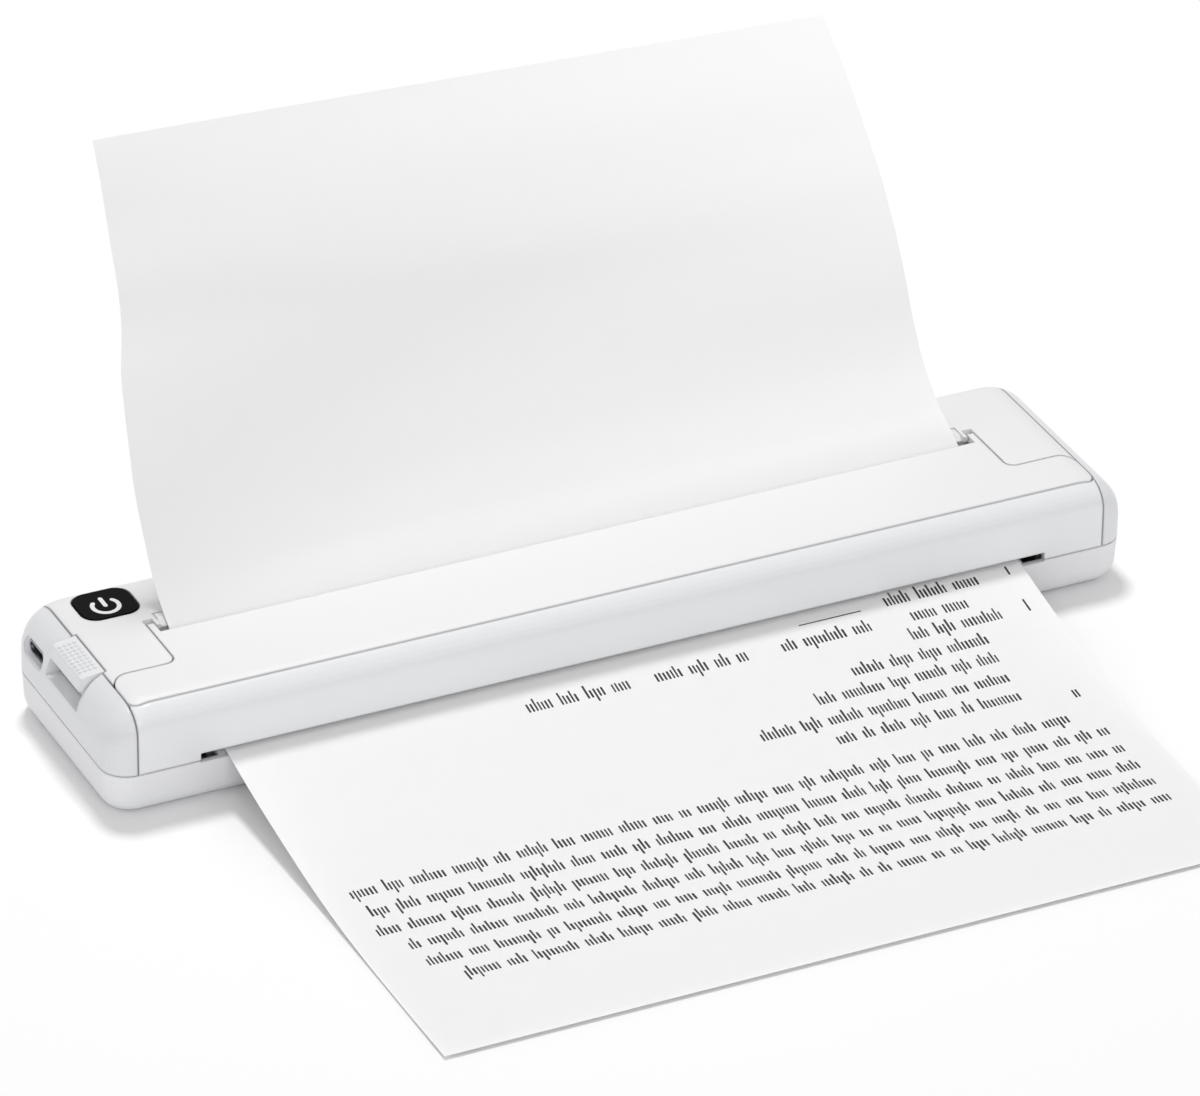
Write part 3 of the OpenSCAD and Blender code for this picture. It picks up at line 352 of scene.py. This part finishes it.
# thermal paper, calendered and coated: smooth white with the faint cloudiness of its fibres,
# thin enough for light from behind to show through
paperLook = dict(colours=("#f8f8f8", "#f6f6f6"), cloud=9, grain=0.9, relief=0.006, drawn=(1, 0.5, 0.5),
                 roughness=(0.62, 0.74), ior=1.5, edge=0.02, through=0.5, wander=0.25)
paperSheet = makePiece("paperSheet", sheetSolid(sheetGrid(), sheet["thick"] * mm),
                       makeFinish("thermalPaperCoated", paperLook), "base", smooth=60)
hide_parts("paper_sheet")
print("sheet of paper:", len(paperSheet.data.polygons), "faces")


# what the head has printed: rows of small plain stems, in groups
marks = dict(low=2.9, tall=4.4, tallShare=0.5, hangShare=0.2, shortest=0.86, narrow=0.42, wide=0.6,
             between=0.5, groupGap=2.3, leastGroup=6, raised=0.03, thick=0.04, eased=0.3, step=0.8, seed=7,
             stems=(3, 4, 5, 5, 6, 7, 8, 9, 11),
             rows=[(-33.4, 92, 62), (-39.8, 85.9, 66.2), (-39.8, 59.7, 33.4), (-39.8, 26.6, 1.6),
                   (-39.8, -4.7, -31.4), (-45.8, 92, 62), (-52.7, 84.8, 43.1), (-59.4, 84, 32.3),
                   (-66.7, 83.1, 16.4), (-73.7, 82.6, 33.2)],
             single=[(-32.6, 100.9, 100.4, 2.8), (-45.4, 99.9, 99.4, 4.2), (-33.0, 60.0, 43.2, 0.3),
                     (-77.4, 96.6, 96.1, 2.9), (-77.4, 95.7, 95.2, 2.9)],
             paragraph=dict(first=-85.4, rows=6, pitch=7.6, indent=89.5, right=96.2, left=-98.0,
                            ragged=(-1.5, 4.0), lastLeft=-90.0))


def heightAt(y):  # the sheet's middle surface in front of the printer and in its outlet
    for a, b in zip(outLine, outLine[1:]):
        if a[0] <= y <= b[0]:
            t = (y - a[0]) / (b[0] - a[0])
            return a[1] + (b[1] - a[1]) * t
    return outLine[-1][1]


def addMark(bm, x0, x1, y0, y1):  # a stem with eased ends, which follows the sheet's curve
    low, high = min(x0, x1), max(x0, x1)
    ease = marks["eased"] * min(high - low, y1 - y0)
    inner = max(1, math.ceil((y1 - y0) / marks["step"]))
    levels = [(y0 + ease + (y1 - y0 - 2 * ease) * k / inner, 0) for k in range(inner + 1)]
    levels = [(y0, ease)] + levels + [(y1, ease)]
    lift = sheet["thick"] / 2 + marks["raised"]
    rings = []
    for y, cut in levels:
        top, foot = heightAt(y) + lift, heightAt(y) + lift - marks["thick"]
        corners = ((low + cut, top), (high - cut, top), (high - cut, foot), (low + cut, foot))
        rings.append([bm.verts.new(Vector((x, y, z)) * mm) for x, z in corners])
    for near, far in zip(rings, rings[1:]):
        for k in range(4):
            n = (k + 1) % 4
            bm.faces.new((near[k], near[n], far[n], far[k]))
    bm.faces.new(rings[0][::-1])
    bm.faces.new(rings[-1])


def addRow(bm, y, start, end, chance):  # groups of stems from start, on the right, to end
    x = start
    while x - marks["leastGroup"] * marks["wide"] > end:
        for stem in range(chance.choice(marks["stems"])):
            wide = chance.uniform(marks["narrow"], marks["wide"])
            if x - wide < end:
                return
            stands = stem % 3 == 1 and chance.random() < marks["tallShare"]
            hangs = stem % 3 == 2 and chance.random() < marks["hangShare"]
            rise = marks["tall"] if stands else marks["low"]
            sink = marks["low"] - marks["tall"] if hangs else 0
            addMark(bm, x - wide, x, y + sink, y + rise * chance.uniform(marks["shortest"], 1.0))
            x -= wide + marks["between"]
        x -= marks["groupGap"] - marks["between"]


bm = bmesh.new()
chance = random.Random(marks["seed"])
for y, start, end in marks["rows"]:
    addRow(bm, y, start, end, chance)
for y, start, end, tall in marks["single"]:
    addMark(bm, end, start, y, y + tall)
block = marks["paragraph"]
for row in range(block["rows"]):
    start = block["indent"] if row == 0 else block["right"]
    last = row == block["rows"] - 1
    end = block["lastLeft"] if last else block["left"] + chance.uniform(*block["ragged"])
    addRow(bm, block["first"] - row * block["pitch"], start, end, chance)
# developed thermal dye: soft charcoal, a little uneven
inkLook = dict(colours=("#161617", "#2c2c2f"), cloud=2.0, grain=0.5, relief=0.004,
               roughness=(0.6, 0.75), ior=1.5, edge=0.02)
printedMarks = makePiece("printedMarks", bm, makeFinish("developedThermalDye", inkLook), "base")
print("printed marks made")


# power sign on the key: an open ring and a bar, in pad-printed white
power = dict(radius=3.2, stroke=1.1, gap=50, aside=0.3, forward=1.0, barFrom=0.1, barTo=3.5,
             raised=0.05, sunk=0.02, segments=48, rounding=6)
keyLow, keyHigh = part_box("power_button")
keyMiddle = (keyLow + keyHigh) / 2 / mm - Vector((power["aside"], power["forward"], 0))
keyTop = keyHigh.z / mm
bm = bmesh.new()


def addStroke(bm, line):  # a flat stroke with round ends on the key's top
    half, rounding = power["stroke"] / 2, power["rounding"]
    sides = []
    for i, p in enumerate(line):
        a, b = line[max(i - 1, 0)], line[min(i + 1, len(line) - 1)]
        d = Vector((b[0] - a[0], b[1] - a[1])).normalized()
        sides.append(((p[0] - d.y * half, p[1] + d.x * half), (p[0] + d.y * half, p[1] - d.x * half)))
    rim = [side[0] for side in sides]
    for end, pair in ((line[-1], sides[-1]), (line[0], sides[0][::-1])):
        start = math.atan2(pair[0][1] - end[1], pair[0][0] - end[0])
        rim += [(end[0] + half * math.cos(start - math.pi * k / rounding),
                 end[1] + half * math.sin(start - math.pi * k / rounding)) for k in range(1, rounding)]
        if end is line[-1]:
            rim += [side[1] for side in sides[::-1]]
    top = [bm.verts.new(Vector((x, y, keyTop + power["raised"])) * mm) for x, y in rim]
    foot = [bm.verts.new(Vector((x, y, keyTop - power["sunk"])) * mm) for x, y in rim]
    count, total = len(line), len(rim)
    for i in range(count - 1):  # across the stroke, one quad for each step along it
        j = count + rounding - 1 + (count - 1 - i)
        bm.faces.new((top[i + 1], top[i], top[j], top[j - 1]))
        bm.faces.new((foot[i], foot[i + 1], foot[j - 1], foot[j]))
    firstCap = list(range(count - 1, count + rounding))
    lastCap = list(range(total - rounding, total)) + [0]
    for cap in (firstCap, lastCap):
        bm.faces.new([top[k] for k in cap][::-1])
        bm.faces.new([foot[k] for k in cap])
    for k in range(total):
        n = (k + 1) % total
        bm.faces.new((top[k], top[n], foot[n], foot[k]))


ring = []
for k in range(power["segments"] + 1):
    a = math.radians(90 + power["gap"] + (360 - 2 * power["gap"]) * k / power["segments"])
    ring.append((keyMiddle.x + power["radius"] * math.cos(a),
                 keyMiddle.y + power["radius"] * math.sin(a)))
addStroke(bm, ring)
addStroke(bm, [(keyMiddle.x, keyMiddle.y + power[end]) for end in ("barFrom", "barTo")])
bmesh.ops.recalc_face_normals(bm, faces=bm.faces)
# two-part ink, pad printed: opaque white with a faint orange-peel
signLook = dict(colours=("#f4f4f4", "#eaeaea"), cloud=2.0, grain=0.4, relief=0.004,
                roughness=(0.35, 0.45), ior=1.5, edge=0.03)
powerSign = makePiece("powerSign", bm, makeFinish("padPrintedWhite", signLook), "power_key")
print("power sign made")


# grip on the latch slide: a low dome over each small dot, moulded in one with the slide
grip = dict(columns=4, rows=9, across=1.25, along=1.55, firstColumn=1.3, slideHalf=8.8, dotProud=0.14,
            slope=0.125, radius=0.56, height=0.34, sunk=0.1, lastRing=80, rings=3, segments=14)
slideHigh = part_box("latch_button")[1] / mm


def addDome(bm, x, y, z):
    rings = []
    for ring in range(grip["rings"] + 1):
        rise = math.radians(grip["lastRing"] * ring / grip["rings"])
        r = grip["radius"] * math.cos(rise)
        top = z + grip["height"] * math.sin(rise) if ring else z - grip["sunk"]
        turns = [2 * math.pi * k / grip["segments"] for k in range(grip["segments"])]
        circle = [(x + r * math.cos(a), y + r * math.sin(a)) for a in turns]
        rings.append([bm.verts.new(Vector((px, py, top)) * mm) for px, py in circle])
    for lower, upper in zip(rings, rings[1:]):
        for k in range(grip["segments"]):
            n = (k + 1) % grip["segments"]
            bm.faces.new((lower[k], lower[n], upper[n], upper[k]))
    bm.faces.new(rings[-1])
    bm.faces.new(rings[0][::-1])


bm = bmesh.new()
for column in range(grip["columns"]):
    inward = grip["firstColumn"] + column * grip["across"]
    for row in range(grip["rows"]):
        y = slideHigh.y - grip["slideHalf"] + (row - (grip["rows"] - 1) / 2) * grip["along"]
        addDome(bm, slideHigh.x - inward, y, slideHigh.z - grip["dotProud"] - inward * grip["slope"])
gripDomes = makePiece("gripDomes", bm, made["latch_grey"], "latch", smooth=50)
print("grip made")


# studio: plain pale floor and soft sky, a small key nearly overhead and a little behind,
# a large soft lamp in front and a weak one on the left
studio = dict(floor=("#fdfdfd", "#fbfbfb"), floorReach=4, floorDrop=0.0001,
              sky="#fafafb", skyStrength=0.56, aim=(0, -0.02, 0.02), lamps=dict(
    key=dict(place=(0.08, 0.42, 1.4), size=0.3, power=9.6, colour="#fffefd"),
    front=dict(place=(-0.5, -1.8, 1.0), size=1.2, power=7.6, colour="#fefeff"),
    left=dict(place=(-1.2, -1.1, 0.45), size=0.2, power=0.6, colour="#fefeff")))
bm = bmesh.new()
reach, drop = studio["floorReach"], studio["floorDrop"]
corners = ((-reach, -reach), (reach, -reach), (reach, reach), (-reach, reach))
bm.faces.new([bm.verts.new((x, y, -drop)) for x, y in corners])
mesh = bpy.data.meshes.new("studioFloor")
bm.to_mesh(mesh)
bm.free()
floor = bpy.data.objects.new("studioFloor", mesh)
bpy.context.scene.collection.objects.link(floor)
# matt painted board: even, without a sheen
floorLook = dict(colours=studio["floor"], cloud=400, grain=2.0, relief=0.004,
                 roughness=(0.88, 0.95), ior=1.45, edge=0.02)
mesh.materials.append(makeFinish("mattPaintedBoard", floorLook))
world = bpy.data.worlds.new("softRoom")
bpy.context.scene.world = world
world.use_nodes = True
sky = world.node_tree.nodes["Background"]
sky.inputs["Color"].default_value = toLinear(studio["sky"])
sky.inputs["Strength"].default_value = studio["skyStrength"]
for name, lamp in studio["lamps"].items():
    light = bpy.data.lights.new(name + "Light", "AREA")
    light.shape = "DISK"
    light.size = lamp["size"]
    light.energy = lamp["power"]
    light.color = toLinear(lamp["colour"])[:3]
    holder = bpy.data.objects.new(name + "Light", light)
    holder.location = lamp["place"]
    aim = Vector(studio["aim"]) - Vector(lamp["place"])
    holder.rotation_euler = aim.to_track_quat("-Z", "Y").to_euler()
    bpy.context.scene.collection.objects.link(holder)
bpy.context.scene.view_settings.view_transform = "Standard"
print("studio made")
